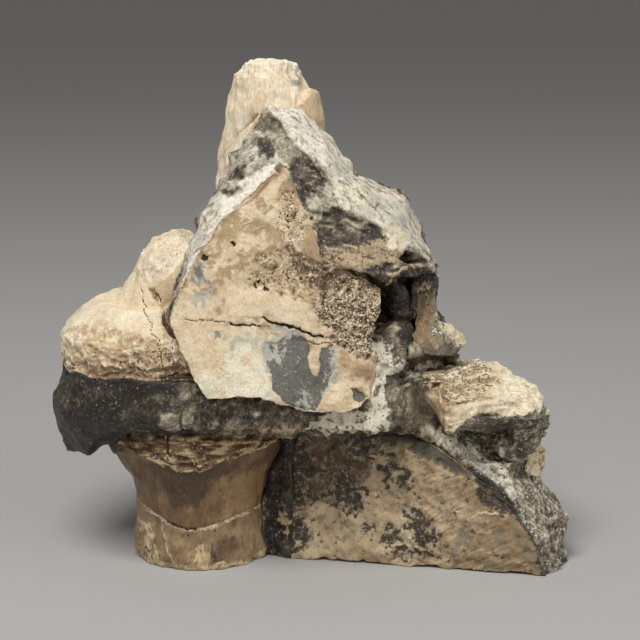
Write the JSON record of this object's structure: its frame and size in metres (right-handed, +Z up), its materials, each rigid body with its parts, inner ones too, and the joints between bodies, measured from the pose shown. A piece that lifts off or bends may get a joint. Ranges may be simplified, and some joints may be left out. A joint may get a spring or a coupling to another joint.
{
  "type": "ichthyosaur bone fossil block",
  "caption": "Rough rock block with fossil vertebrae stacked up one side, a broad dished bone face in the middle and smaller bones, standing on its flat underside.",
  "frame": {"origin": "middle of the block's box, on the surface that it stands on", "axes": "+Z up, -Y towards the broad bone face, +X towards the low slab and side bone"},
  "size_m": [0.154, 0.084, 0.1466],
  "materials": {
    "dark_limestone": "broken dark grey limestone, half glossy, with speckled pale edges and a white calcite seam",
    "glossy_bone": "smooth brown fossil bone with a soft gloss",
    "pale_bone": "pale tan fossil bone, spongy where broken",
    "face_bone": "beige fossil bone, smooth with spongy broken zones and a grey window",
    "mottled_bone": "tan fossil bone mottled with dark limestone"
  },
  "bodies": {
    "root": {"matrix": "dark_limestone", "lower_vertebra": "glossy_bone", "upper_vertebra": "pale_bone", "crown_bone": "pale_bone", "face_bone": "face_bone", "slab_bone": "mottled_bone", "side_bone": "pale_bone", "nub_bone": "pale_bone", "toe_bone": "pale_bone"}
  },
  "joints": []
}
